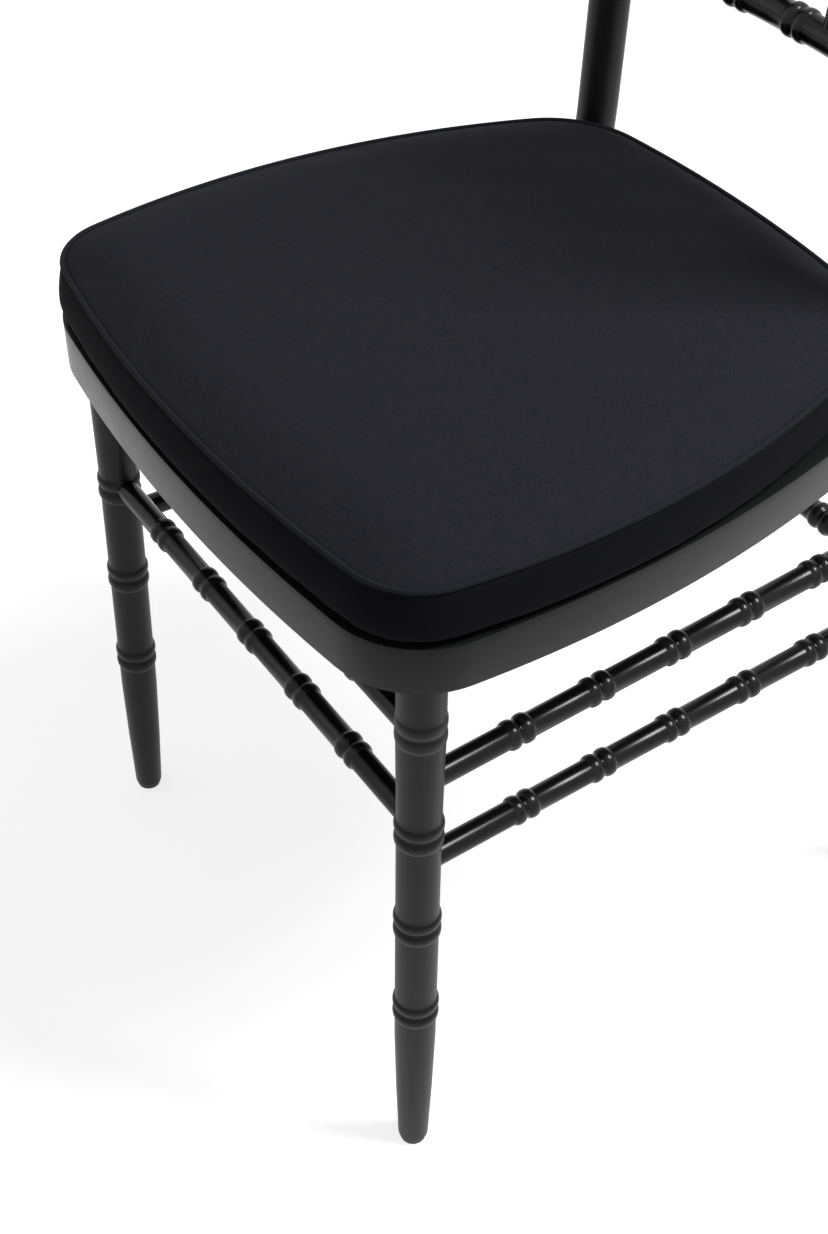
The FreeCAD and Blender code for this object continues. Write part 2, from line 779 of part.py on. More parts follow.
# front legs are held by bolts sunk in the frame, rear posts by bolts through the blocks
bolt_seats = {}
for side in (1, -1):
    top = front_axis(side, float(frame_top))
    down = (front_axis(side, float(S.frame_bottom)) - top).normalize()
    seat = top + down * float(S.bolt_sink + S.bolt_head_height)
    under = front_axis(side, float(S.frame_bottom))
    bolt_seats["front", side] = (seat, under + down * float(S.bolt_in_leg))

bolt_height = S.frame_bottom + S.block_lift + S.block_height / 2
for side in (1, -1):
    post = joint("rear", side, bolt_height)
    centre = corner_centres["rear", side] + Vector(0, 0, float(bolt_height))
    out = (post - centre).normalize()
    seat = centre - out * float(S.block_depth)
    into = S.bolt_in_post - S.post_diameter / 2
    bolt_seats["rear", side] = (seat, post + out * float(into))

bores = {}
for end in ("front", "rear"):
    for side, word in SIDES:
        seat, tip = bolt_seats[end, side]
        deeper = tip + (tip - seat).normalize() * float(S.rest_gap)
        bores[end, side] = bolt("%s_bore_%s" % (end, word), seat, deeper,
                                S.bolt_diameter / 2 + S.bore_gap,
                                S.bolt_head / 2 + S.bore_gap,
                                S.bolt_head_height * HEAD_ROOM)


def drilled(name, base, tools):
    for i, tool in enumerate(tools):
        base = cut("%s_cut%d" % (name, i), base, tool)
    return node(name, base)


drilled("seat_rail_front", common("rail_front_blank", ring,
        mitre_wedge("wedge_front", ("front", -1), ("front", 1))),
        [bores["front", 1], bores["front", -1]])
drilled("seat_rail_rear", common("rail_rear_blank", ring,
        mitre_wedge("wedge_rear", ("rear", 1), ("rear", -1))),
        [saddles["rear", 1, "rod"], saddles["rear", -1, "rod"],
         bores["rear", 1], bores["rear", -1]])
for side, word in SIDES:
    order = [("front", side), ("rear", side)][::side]
    blank = common("rail_side_blank_" + word, ring, mitre_wedge("wedge_" + word, *order))
    drilled("seat_rail_" + word, blank,
            [saddles["rear", side, "rod"], bores["front", side], bores["rear", side]])

# the panel drops into the rabbet, flush with the frame
sheet_body = doc.addObject("PartDesign::Body", "panel_sheet")
cut_line = outline_sketch(sheet_body, "panel_plan", "frame",
                          S.rail_width - S.rabbet_width + S.panel_gap,
                          frame_top - S.panel_thickness)
pad(sheet_body, cut_line, "panel_pad", S.panel_thickness)
node("seat_panel", sheet_body)

# blocks in the corners, cut square across on the inside
plug = doc.addObject("PartDesign::Body", "frame_inside")
inside = outline_sketch(plug, "inside_plan", "frame", S.rail_width + S.seat_gap,
                        S.frame_bottom + S.block_lift)
pad(plug, inside, "inside_pad", S.block_height)
for end in ("front", "rear"):
    for side, word in SIDES:
        centre = corner_centres[end, side]
        if end == "rear":
            seat, tip = bolt_seats[end, side]
            out = tip - seat
        else:
            out = Vector(side, -1, 0)
        base = centre - out.normalize() * float(S.block_depth)
        turn = Rotation(Vector(1, 0, 0), Vector(out.x, out.y, 0))
        corner = Vector(base.x, base.y, float(S.frame_bottom))
        place = Placement(corner, turn)
        place = place.multiply(Placement(Vector(0, -float(S.block_span) / 2, 0), Rotation()))
        name = "corner_block_%s_%s" % (end, word)
        square = box(name + "_saw", S.block_span, S.block_span, S.frame_height, place)
        block = common(name + "_blank", plug, square)
        drilled(name, block, [bores[end, side]] if end == "rear" else [])


# Fasteners

def compound(name, things):
    group = doc.addObject("Part::Compound", name)
    group.Links = things
    return node(name, group)


bolt_sets = {"front": [], "rear": []}
for (end, side), (seat, tip) in bolt_seats.items():
    bolt_sets[end].append(bolt("%s_bolt%d" % (end, side + 2), seat, tip, S.bolt_diameter / 2,
                               S.bolt_head / 2, S.bolt_head_height))
compound("front_leg_bolts", bolt_sets["front"])
compound("rear_post_bolts", bolt_sets["rear"])

inserts = []
for side, word in SIDES:
    seat, tip = bolt_seats["rear", side]
    inward = (seat - tip).normalize()
    outer_end = tip + inward * float(S.insert_length)
    deeper = tip - inward * float(S.rest_gap)
    pocket_tool = prism("insert_pocket_" + word, 8, S.insert_diameter / 2 + S.seat_gap,
                        S.insert_length * 2, along(deeper, outer_end))
    drilled("back_post_" + word, posts[side], [pocket_tool])
    drilled("front_leg_" + word, front_legs[side], [bores["front", side]])
    sleeve = prism("insert_sleeve_" + word, 8, S.insert_diameter / 2, S.insert_length,
                   along(tip, outer_end))
    inserts.append(cut("insert_" + word, sleeve, bores["rear", side]))
compound("post_inserts", inserts)

glides = []
for side, word in SIDES:
    foot = joint("rear", side, S.glide_height)
    for end, point in (("front", front_axis(side, float(S.glide_height))), ("rear", foot)):
        spot = Placement(Vector(point.x, point.y, 0), Rotation())
        glides.append(prism("glide_%s_%s" % (end, word), LEG_SIDES, S.glide_diameter / 2,
                            S.glide_height, spot))
compound("foot_glides", glides)


# Loose cushion: a board, foam on it, a cover with a crowned top and drawn-in sides, and
# piping round the top edge. Strips of hook and of loop tape hold it to the panel.

cushion_bottom = frame_top + S.strip_thickness * 2 + S.rest_gap


def strips(name, height):
    made = []
    for side in (1, -1):
        corner = Vector(side * float(strip_place) - float(S.strip_width) / 2,
                        float(S.strip_setback) - float(S.strip_length) / 2, float(height))
        made.append(box("%s_%d" % (name, side + 2), S.strip_width, S.strip_length,
                        S.strip_thickness, Placement(corner, Rotation())))
    return compound(name, made)


strips("panel_hook_strips", frame_top)
strips("cushion_loop_strips", cushion_bottom - S.strip_thickness)


def cushion_form(name, levels):
    """Ruled form between rounded outlines, given as (drawn in, height) from the bottom."""
    body = doc.addObject("PartDesign::Body", name)
    sketches = []
    for i, (drawn, height) in enumerate(levels):
        sketches.append(outline_sketch(body, "%s_level%d" % (name, i), "cushion", drawn,
                                       cushion_bottom + height))
    loft = body.newObject("PartDesign::AdditiveLoft", name + "_loft")
    loft.Profile = sketches[0]
    loft.Sections = sketches[1:]
    loft.Ruled = True
    return body


seam = S.welt_thickness + S.seat_gap
covered = cushion_form("cover_outside", [
    (seam + S.cushion_tuck, ZERO),
    (seam - S.cushion_belly, S.cushion_boxing / 2),
    (seam, S.cushion_boxing),
    (seam + S.crown_shoulder, S.cushion_boxing + S.crown_rise),
    (seam + S.crown_flat, S.cushion_boxing + S.cushion_crown),
])


def foam_form(name, gap):
    edge = seam + S.foam_edge + gap
    return cushion_form(name, [
        (seam + S.cushion_tuck + S.cover_thickness + gap, S.cover_thickness + gap),
        (edge, S.cushion_boxing - S.cover_thickness - gap),
    ])


node("cushion_cover", cut("cover_shell", covered, foam_form("cover_hollow", ZERO)))

board = doc.addObject("PartDesign::Body", "board_sheet")
board_line = outline_sketch(board, "board_plan", "cushion",
                            seam + S.cushion_tuck + S.cover_thickness * 2,
                            cushion_bottom + S.cover_thickness)
pad(board, board_line, "board_pad", S.board_thickness)
node("cushion_board", board)
node("cushion_foam", cut("foam_on_board", foam_form("foam_whole", S.seat_gap), board))


def welt(name):
    """Cord along the cushion's top edge, four-sided, one length for each arc."""
    half = float(S.welt_thickness) / 2
    height = float(cushion_bottom + S.cushion_boxing)
    lengths = []
    for centre, radius, start, end in Outline("cushion", S.welt_thickness / 2).arcs():
        out = Vector(math.cos(start), math.sin(start), 0)
        middle = Vector(centre.x, centre.y, height) + out * float(radius)
        corners = [middle + out * (half * math.cos(k * math.pi / 2))
                   + Vector(0, 0, half * math.sin(k * math.pi / 2)) for k in range(4)]
        turn = math.degrees(end - start)
        lengths.append(facet(corners).revolve(Vector(centre.x, centre.y, 0),
                                              Vector(0, 0, 1), turn))
    return node(name, shaped(name + "_cord", lengths[0].fuse(lengths[1:]).removeSplitter()))


welt("cushion_welt")

doc.recompute()
for thing in doc.Objects:
    if "Invalid" in thing.State or "Error" in thing.State:
        raise RuntimeError("%s did not build" % thing.Name)
for thing in NODES:
    if thing.Shape.isNull() or not thing.Shape.isValid():
        raise RuntimeError("%s has no sound shape" % thing.Label)
for thing in NODES:
    thing.Shape.exportStep("parts/%s.step" % thing.Label)
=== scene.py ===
import math
import bpy
from mathutils import Matrix, Quaternion, Vector


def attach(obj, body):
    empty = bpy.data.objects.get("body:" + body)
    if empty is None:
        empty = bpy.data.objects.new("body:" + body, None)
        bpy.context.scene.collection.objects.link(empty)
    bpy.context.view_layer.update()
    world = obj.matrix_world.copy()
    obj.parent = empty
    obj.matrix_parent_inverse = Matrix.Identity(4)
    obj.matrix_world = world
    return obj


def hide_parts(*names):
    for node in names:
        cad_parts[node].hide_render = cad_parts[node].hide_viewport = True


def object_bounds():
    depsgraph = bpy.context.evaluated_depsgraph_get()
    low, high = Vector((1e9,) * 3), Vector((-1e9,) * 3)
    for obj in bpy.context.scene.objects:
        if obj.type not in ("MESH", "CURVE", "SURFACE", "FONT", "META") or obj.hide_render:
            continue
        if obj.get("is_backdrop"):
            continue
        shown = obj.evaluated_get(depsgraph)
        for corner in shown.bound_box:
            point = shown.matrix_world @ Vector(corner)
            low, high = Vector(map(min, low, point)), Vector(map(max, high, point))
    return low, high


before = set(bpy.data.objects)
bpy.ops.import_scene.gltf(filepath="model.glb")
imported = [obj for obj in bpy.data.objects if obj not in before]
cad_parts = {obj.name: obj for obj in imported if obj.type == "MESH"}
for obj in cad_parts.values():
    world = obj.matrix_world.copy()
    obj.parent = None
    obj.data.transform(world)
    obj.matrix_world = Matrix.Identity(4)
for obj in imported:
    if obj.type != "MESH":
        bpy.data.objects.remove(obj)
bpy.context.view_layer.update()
bpy.ops.object.select_all(action="DESELECT")


# Camera and background: the chair stands on a plain pale floor and is seen from above its
# front left corner. The distances below come from matching the chair's rings and edges.
PICTURE = (828, 1234)
FOCUS = 1792.43
CENTRE = (382.91, 714.93)
EYE = Vector((0.69458, -0.56409, 1.04270))
RIGHT = Vector((0.544417, 0.838812, 0.00213))
UP = Vector((-0.605103, 0.390971, 0.693535))

lens = bpy.data.cameras.new("photo_view")
lens.sensor_width = 36.0
lens.lens = FOCUS * lens.sensor_width / PICTURE[1]
lens.shift_x = (PICTURE[0] / 2 - CENTRE[0]) / PICTURE[1]
lens.shift_y = (CENTRE[1] - PICTURE[1] / 2) / PICTURE[1]
camera = bpy.data.objects.new("photo_view", lens)
bpy.context.collection.objects.link(camera)
turned = Matrix((RIGHT, UP, RIGHT.cross(UP))).transposed().to_4x4()
camera.matrix_world = Matrix.Translation(EYE) @ turned
bpy.context.scene.camera = camera
bpy.context.scene.view_settings.view_transform = "Standard"


# Floor: a plain white studio floor. The camera and shiny parts see it lit up to white, and
# it keeps the soft shadow under the chair.
FLOOR_SPAN = 12.0
FLOOR_GLOW = 0.74


class Signal:
    """What comes out of a shader node; adding or multiplying it adds the Math node for it."""

    def __init__(self, finish, socket):
        self.finish = finish
        self.socket = socket

    def math(self, operation, first, second):
        return self.finish.node("ShaderNodeMath", {"operation": operation},
                                {0: first, 1: second})

    def __add__(self, other):
        return self.math("ADD", self, other)

    def __mul__(self, other):
        return self.math("MULTIPLY", self, other)

    __radd__ = __add__
    __rmul__ = __mul__


class Finish:
    """A material whose nodes are laid out by node(), one call for each."""

    def __init__(self, name):
        self.material = bpy.data.materials.new(name)
        self.material.use_nodes = True
        self.tree = self.material.node_tree
        self.shader = self.tree.nodes["Principled BSDF"]

    def node(self, kind, settings=None, inputs=None, output=0):
        made = self.tree.nodes.new(kind)
        for key, setting in (settings or {}).items():
            if key == "stops":
                ramp = made.color_ramp
                for element, (place, level) in zip(ramp.elements, setting):
                    element.position = place
                    element.color = (level, level, level, 1)
            else:
                setattr(made, key, setting)
        for key, value in (inputs or {}).items():
            self.feed(made.inputs[key], value)
        return Signal(self, made.outputs[output])

    def feed(self, socket, value):
        if isinstance(value, Signal):
            self.tree.links.new(value.socket, socket)
        else:
            socket.default_value = value

    def surface(self, **values):
        """Feeds the shader's own sockets, named with _ for a space."""
        for key, value in values.items():
            self.feed(self.shader.inputs[key.replace("_", " ")], value)

    def own_place(self):
        return self.node("ShaderNodeTexCoord", output=3)

    def scaled(self, place, scale):
        return self.node("ShaderNodeMapping", inputs={"Vector": place, "Scale": scale})

    def noise(self, place, scale, detail=2.0):
        return self.node("ShaderNodeTexNoise", inputs={"Vector": place, "Scale": scale,
                                                       "Detail": detail})

    def ramp(self, value, dark, light):
        """0 up to dark, 1 from light."""
        stops = ((dark, 0.0), (light, 1.0))
        return self.node("ShaderNodeValToRGB", {"stops": stops}, {0: value})

    def blend(self, share, first, second):
        return self.node("ShaderNodeMix", {"data_type": "RGBA"},
                         {0: share, 6: first, 7: second}, output=2)

    def relief(self, height, strength, distance):
        return self.node("ShaderNodeBump", inputs={"Height": height, "Strength": strength,
                                                   "Distance": distance})


bpy.ops.mesh.primitive_grid_add(x_subdivisions=8, y_subdivisions=8, size=FLOOR_SPAN)
floor = bpy.context.object
floor.name = "studio_floor"
paper = Finish("floor_paper")
paper.surface(Roughness=0.9, Specular_IOR_Level=0.0)
mottle = paper.noise(paper.own_place(), 1.5)
paper.surface(Base_Color=paper.blend(mottle, (0.54, 0.54, 0.54, 1), (0.56, 0.56, 0.56, 1)))
path = paper.node("ShaderNodeLightPath")
seen = paper.node("ShaderNodeMath", {"operation": "MAXIMUM"},
                  {0: path, 1: Signal(paper, path.socket.node.outputs["Is Glossy Ray"])})
glow = paper.node("ShaderNodeEmission", inputs={"Color": (1, 1, 1, 1), "Strength": FLOOR_GLOW})
both = paper.node("ShaderNodeAddShader", inputs={0: Signal(paper, paper.shader.outputs[0]),
                                                 1: glow})
mixed = paper.node("ShaderNodeMixShader", inputs={0: seen,
                                                  1: Signal(paper, paper.shader.outputs[0]),
                                                  2: both})
paper.tree.links.new(mixed.socket, paper.tree.nodes["Material Output"].inputs["Surface"])
floor.data.materials.append(paper.material)
floor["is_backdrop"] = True


# Light: an even surround, which the camera and shiny parts see as white, and two soft lamps:
# a strong one high behind the chair's left side and a weak one in front of its right side.
SURROUND_GLOW = 0.34
SEAT_MIDDLE = Vector((0, 0, 0.45))
world = bpy.data.worlds.new("studio")
bpy.context.scene.world = world
world.use_nodes = True
nodes, links = world.node_tree.nodes, world.node_tree.links
surround = nodes["Background"]
surround.inputs["Color"].default_value = (1, 1, 1, 1)
surround.inputs["Strength"].default_value = SURROUND_GLOW
backdrop = nodes.new("ShaderNodeBackground")
backdrop.inputs["Color"].default_value = (1, 1, 1, 1)
rays = nodes.new("ShaderNodeLightPath")
chosen = nodes.new("ShaderNodeMixShader")
white_for = rays.outputs["Is Camera Ray"]
for ray in ("Is Transmission Ray", "Is Glossy Ray"):
    either = nodes.new("ShaderNodeMath")
    either.operation = "MAXIMUM"
    links.new(white_for, either.inputs[0])
    links.new(rays.outputs[ray], either.inputs[1])
    white_for = either.outputs[0]
links.new(white_for, chosen.inputs[0])
links.new(surround.outputs[0], chosen.inputs[1])
links.new(backdrop.outputs[0], chosen.inputs[2])
links.new(chosen.outputs[0], nodes["World Output"].inputs["Surface"])


def lamp(name, place, size, watts):
    """A square soft lamp turned to the seat."""
    soft = bpy.data.lights.new(name, "AREA")
    soft.size = size
    soft.energy = watts
    holder = bpy.data.objects.new(name, soft)
    bpy.context.collection.objects.link(holder)
    aim = SEAT_MIDDLE - Vector(place)
    holder.location = place
    holder.rotation_euler = aim.to_track_quat("-Z", "Y").to_euler()


lamp("soft_key", (0.9, 0.9, 2.4), 0.7, 62)
lamp("soft_fill", (-1.8, -2.0, 1.6), 1.4, 4)


# Front legs: hardwood turned in one piece with four double rings and a tapered foot, sprayed
# with black lacquer and rubbed to a satin. Each is screwed up into a corner of the frame.
FRAME_BOTTOM = 0.4144
FRAME_TOP = 0.4447
HALF_WIDTH = 0.1985
FRAME_FRONT = 0.2454
FRAME_BACK = 0.1556
GLIDE_TOP = 0.003
LEG, LEG_TOP, RING, FOOT = 0.0127, 0.01335, 0.0141, 0.0098
FOOT_TAPER = 0.112
RING_TOP, RING_PITCH, RING_PAIR = 0.3779, 0.0786, 0.019
RING_HEIGHTS = [RING_TOP - RING_PITCH * i for i in range(4)]
LEG_SIDES = 44
FOOT_INSET, FOOT_SETBACK = 0.013, 0.038
HEAD_LEAN_IN, HEAD_LEAN_BACK = 0.0114, 0.006
# half a double ring from its outer end to the groove: (share of half the ring, share of the
# ridge's height, wear and shade), with 1 where the lacquer is rubbed and painted light as a
# highlight, and -1 where shade is painted dark in the groove
RIDGE = ((1.0, 0.0, 0.0), (0.94, 0.10, 0.5), (0.87, 0.52, 1.0), (0.76, 0.86, 0.6),
         (0.60, 1.0, 0.15), (0.43, 0.97, 0.2), (0.29, 0.78, 0.7), (0.18, 0.38, 0.4),
         (0.09, -0.08, -0.6), (0.0, -0.25, -1.0))
# on an upright piece the lower edge of each ring is painted light, as rubbed lacquer and a
# highlight, and its upper side is painted dark as shade: the wear and painted shade of the ring
# below the groove and of the one above, both listed inwards
WEAR_AND_SHADE_BELOW = (0.0, 0.7, 1.0, 0.5, 0.0, -0.1, -0.5, -1.0, -1.0, -1.0)
WEAR_AND_SHADE_ABOVE = (-0.7, -1.0, -1.0, -0.6, -0.1, 0.2, 1.0, 0.7, -0.2, -1.0)


def double_ring(at, base, ridge, pair, upright=False):
    """Stations of a double ring whose groove is at a distance along a turned piece."""
    below = [(at - share * pair / 2, base + (ridge - base) * up, wear_and_shade)
             for share, up, wear_and_shade in RIDGE]
    above = [(2 * at - reach, radius, wear_and_shade) for reach, radius, wear_and_shade in below[-2::-1]]
    if upright:
        below = [(reach, radius, wear_and_shade) for (reach, radius, _), wear_and_shade in zip(below, WEAR_AND_SHADE_BELOW)]
        above = [(reach, radius, wear_and_shade)
                 for (reach, radius, _), wear_and_shade in zip(above, WEAR_AND_SHADE_ABOVE[-2::-1])]
        above += [(at + pair * 0.60, base, -0.5), (at + pair * 0.74, base, 0.0)]
        below.insert(0, (at - pair * 0.54, base, 0.0))
    return below + above


def turn(name, stations, sides):
    """Turns a straight piece on the Z axis from stations of (distance, radius, wear and painted
    shade).
    """
    low, radius = stations[0][:2]
    bpy.ops.mesh.primitive_circle_add(vertices=sides, radius=radius, fill_type="NGON")
    piece = bpy.context.object
    piece.name = name
    bpy.ops.object.mode_set(mode="EDIT")
    bpy.ops.mesh.select_mode(type="FACE")
    bpy.ops.transform.translate(value=(0, 0, low))
    for distance, wider, _ in stations[1:]:
        bpy.ops.mesh.extrude_region_move(
            TRANSFORM_OT_translate={"value": (0, 0, distance - low)})
        bpy.ops.transform.resize(value=(wider / radius, wider / radius, 1))
        low, radius = distance, wider
    bpy.ops.mesh.select_all(action="SELECT")
    bpy.ops.mesh.normals_make_consistent(inside=False)
    bpy.ops.object.mode_set(mode="OBJECT")
    bpy.ops.object.shade_smooth_by_angle(angle=math.radians(50))
    record_turning(piece, stations)
    bpy.ops.object.select_all(action="DESELECT")
    return piece


def record_turning(piece, stations):
    """Keeps each point's place on the lathe, and the wear and painted highlight and shade
    there, for the lacquer.
    """
    place = piece.data.attributes.new("turning", "FLOAT_VECTOR", "POINT")
    worn_and_lit = piece.data.attributes.new("wear_and_shade", "FLOAT", "POINT")
    marks = [station[0] for station in stations]
    for i, vertex in enumerate(piece.data.vertices):
        place.data[i].vector = vertex.co
        near = min(range(len(marks)), key=lambda k: abs(marks[k] - vertex.co.z))
        worn_and_lit.data[i].value = stations[near][2]


def measure(path):
    """Distance along a path of each of its points."""
    marks = [0.0]
    for here, after in zip(path, path[1:]):
        marks.append(marks[-1] + (after - here).length)
    return marks


def lay_along(piece, path):
    """Bends a straight turned piece so that its axis follows a path of points."""
    marks = measure(path)
    ways = [(after - here).normalized() for here, after in zip(path, path[1:])]
    turns = [Vector((0, 0, 1)).rotation_difference(ways[0])]
    for way, after in zip(ways, ways[1:]):
        turns.append(way.rotation_difference(after) @ turns[-1])
    middles = [(a + b) / 2 for a, b in zip(marks, marks[1:])]
    for vertex in piece.data.vertices:
        z = vertex.co.z
        i = max([k for k in range(len(ways)) if marks[k] <= z] or [0])
        point = path[i] + ways[i] * (z - marks[i])
        j = i if z > middles[i] else i - 1
        if 0 <= j < len(ways) - 1:
            share = (z - middles[j]) / (middles[j + 1] - middles[j])
            turn_here = turns[j].slerp(turns[j + 1], min(max(share, 0), 1))
        else:
            turn_here = turns[i]
        vertex.co = point + turn_here @ Vector((vertex.co.x, vertex.co.y, 0))


def copy_of(piece, name):
    """A second piece of the same pattern, with its own mesh."""
    twin = piece.copy()
    twin.data = piece.data.copy()
    twin.name = name
    bpy.context.collection.objects.link(twin)
    return twin


def fit(piece, material, slot, *nodes):
    """Finishes a piece of the chair that stands for CAD nodes."""
    piece.data.materials.clear()
    piece.data.materials.append(material)
    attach(piece, "chair")
    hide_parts(*nodes)


def lacquer(name, colour, worn_and_lit, dull, shine, peel):
    """Black lacquer over turned wood: worn ridges with a painted highlight, painted shade in
    the grooves, grain under the film.
    """
    finish = Finish(name)
    place = finish.node("ShaderNodeAttribute", {"attribute_name": "turning"}, output=1)
    wear_and_shade = finish.node("ShaderNodeAttribute", {"attribute_name": "wear_and_shade"}, output=2)
    grain = finish.noise(finish.scaled(place, (900, 900, 40)), 1.0, 4.0)
    cloud = finish.noise(place, 55.0, 3.0)
    rubbed_and_lit = finish.node("ShaderNodeMath", {"operation": "MULTIPLY", "use_clamp": True},
                         {0: wear_and_shade, 1: finish.ramp(cloud, 0.25, 0.75)})
    groove = finish.node("ShaderNodeMath", {"operation": "MULTIPLY", "use_clamp": True},
                         {0: wear_and_shade, 1: -1.0})
    base = finish.blend(grain, colour, [c * 1.35 for c in colour[:3]] + [1])
    # lighter where the lacquer is rubbed, together with a painted highlight on the ridges and
    # the rings' lower edges
    base = finish.blend(rubbed_and_lit * 0.8, base, worn_and_lit)
    # painted shade: the grooves and the upper sides of upright rings are darkened almost to
    # black
    base = finish.blend(groove * 0.9, base, (0.0008, 0.0008, 0.0008, 1))
    height = finish.noise(place, peel, 2.0) + grain * 0.15
    finish.surface(Base_Color=base, Roughness=dull + cloud * 0.12, Specular_IOR_Level=shine,
                   Normal=finish.relief(height, 0.35, 0.0002))
    return finish


satin = lacquer("satin_black_lacquer", (0.0085, 0.0090, 0.0088, 1), (0.055, 0.057, 0.055, 1),
                0.36, 0.17, 160.0)


def leg_stations(marks, top, end):
    """Foot, taper and rings of a leg; marks are the rings' distances along it, top first."""
    stations = [(GLIDE_TOP, FOOT * 0.80, 0), (GLIDE_TOP + 0.0004, FOOT * 0.90, 0.5),
                (GLIDE_TOP + 0.0014, FOOT * 0.98, 0.6), (GLIDE_TOP + 0.0032, FOOT, 0.1),
                (FOOT_TAPER / 2, (FOOT + LEG) / 2 + 0.0002, 0), (FOOT_TAPER, LEG, 0)]
    for i, at in enumerate(reversed(marks)):
        stations += double_ring(at, top if i == 3 else LEG, RING, RING_PAIR, upright=True)
    return stations + [(end, top, 0)]


leg_foot = Vector((HALF_WIDTH - FOOT_INSET, -FRAME_FRONT + FOOT_SETBACK, 0))
leg_head = Vector((leg_foot.x - HEAD_LEAN_IN, leg_foot.y + HEAD_LEAN_BACK, FRAME_BOTTOM))
leg_length = (leg_head - leg_foot).length
stretch = leg_length / FRAME_BOTTOM
straight_leg = turn("front_leg", leg_stations([z * stretch for z in RING_HEIGHTS], LEG_TOP,
                                              leg_length), LEG_SIDES)
for side, word in ((1, "left"), (-1, "right")):
    leg = copy_of(straight_leg, "front_leg_turned_" + word)
    mirror = Vector((side, 1, 1))
    lay_along(leg, [leg_foot * mirror, leg_head * mirror])
    fit(leg, satin.material, "black_lacquer", "front_leg_" + word)
bpy.data.objects.remove(straight_leg)


# Back posts: one length of hardwood each, bent with steam at the knee and at the seat, with
# the leg's rings below and three more between the back rails. They run up to the crest.
POST = 0.0130
CREST_HEIGHT = 0.893
MIDDLE_HEIGHT = CREST_HEIGHT - 0.059
LOWER_HEIGHT = FRAME_TOP + 0.1413
POST_TOP = CREST_HEIGHT + 0.019
HIP_HEIGHT = FRAME_TOP + 0.0233
SWEEP_START = HIP_HEIGHT + 0.092
BACK_LEAN, SWEEP_RADIUS = 0.025, 2.0
# the axis's bends: in from the frame's side, and behind or ahead of the frame's back
FOOT_IN, KNEE_IN, HIP_IN = 0.0085, 0.0375, 0.0525
FOOT_BEHIND, KNEE_AHEAD, HIP_AHEAD = 0.0805, 0.0060, 0.0065
KNEE_DROP, KNEE_BEND, HIP_BEND = 0.0764, 0.450, 0.300
# the longest plain length between two stations, so that a bent piece stays round
POST_STEP, RAIL_STEP = 0.009, 0.008
# the domed top: (distance above the post's end, share of the radius, wear and painted
# highlight)
DOME = ((0.0, 1.0, 0.2), (0.0012, 0.985, 0.6), (0.0026, 0.90, 0.5), (0.0038, 0.74, 0.2),
        (0.0047, 0.45, 0.0), (0.0050, 0.12, 0.0))


def rounded(before, corner, after, radius, count=14):
    """Points of the arc of a radius that is tangent at a corner."""
    a, b = (before - corner).normalized(), (after - corner).normalized()
    half = a.angle(b) / 2
    centre = corner + (a + b).normalized() * (radius / math.sin(half))
    start = corner + a * (radius / math.tan(half)) - centre
    end = corner + b * (radius / math.tan(half)) - centre
    whole = start.rotation_difference(end)
    return [centre + Quaternion().slerp(whole, i / count) @ start for i in range(count + 1)]


def post_axis(side):
    """Points of a post's axis from the floor to its top."""
    foot = Vector((side * (HALF_WIDTH - FOOT_IN), FRAME_BACK + FOOT_BEHIND, 0))
    knee = Vector((side * (HALF_WIDTH - KNEE_IN), FRAME_BACK - KNEE_AHEAD,
                   FRAME_BOTTOM - KNEE_DROP))
    hip = Vector((side * (HALF_WIDTH - HIP_IN), FRAME_BACK - HIP_AHEAD, HIP_HEIGHT))
    rise = SWEEP_START - HIP_HEIGHT
    sweep = hip + Vector((0, BACK_LEAN * rise, rise))
    lean = Vector((0, BACK_LEAN, 1)).normalized()
    back = Vector((0, 1, -BACK_LEAN)).normalized()
    angle = (POST_TOP - sweep.z) / SWEEP_RADIUS
    points = [foot] + rounded(foot, knee, hip, KNEE_BEND) + rounded(knee, hip, sweep, HIP_BEND)
    for i in range(17):
        a = angle * i / 16
        points.append(sweep + back * (SWEEP_RADIUS * (1 - math.cos(a)))
                      + lean * (SWEEP_RADIUS * math.sin(a)))
    return points


def at_height(path, height):
    """Distance along a rising path, and the point there, at a height."""
    marks = measure(path)
    for mark, low, high in zip(marks, path, path[1:]):
        if height <= high.z or high is path[-1]:
            share = (height - low.z) / (high.z - low.z)
            return mark + (high - low).length * share, low.lerp(high, share)


axis = post_axis(1)
quarter = (MIDDLE_HEIGHT - LOWER_HEIGHT) / 4
post_stations = leg_stations([at_height(axis, z)[0] for z in RING_HEIGHTS], POST, 0)[:-1]
back_rings = [at_height(axis, LOWER_HEIGHT + quarter * i)[0] for i in (1, 2, 3)]
gap_start = post_stations[-1][0]
post_length = measure(axis)[-1]
for at in back_rings + [post_length + RING_PAIR / 2]:
    count = max(int((at - RING_PAIR / 2 - gap_start) / POST_STEP), 1)
    step = (at - RING_PAIR / 2 - gap_start) / count
    post_stations += [(gap_start + step * i, POST, 0) for i in range(1, count)]
    if at in back_rings:
        post_stations += double_ring(at, POST, RING, RING_PAIR, upright=True)
        gap_start = post_stations[-1][0]
post_stations += [(post_length + up, POST * share, wear_and_shade) for up, share, wear_and_shade in DOME]
straight_post = turn("back_post", post_stations, LEG_SIDES)
for side, word in ((1, "left"), (-1, "right")):
    post = copy_of(straight_post, "back_post_bent_" + word)
    lay_along(post, post_axis(side))
    fit(post, satin.material, "black_lacquer", "back_post_" + word)
bpy.data.objects.remove(straight_post)


# Stretchers: thin turned rods with five double rings, glued into holes in the legs, two on
# each side of the chair. They are sprayed with the same lacquer and left glossy.
ROD, ROD_RING, ROD_PAIR = 0.0074, 0.0089, 0.0175
ROD_SIDES = 32
TENON = 0.006
FRONT_PITCH, REAR_PITCH, SIDE_PITCH = 0.0553, 0.0520, 0.0566
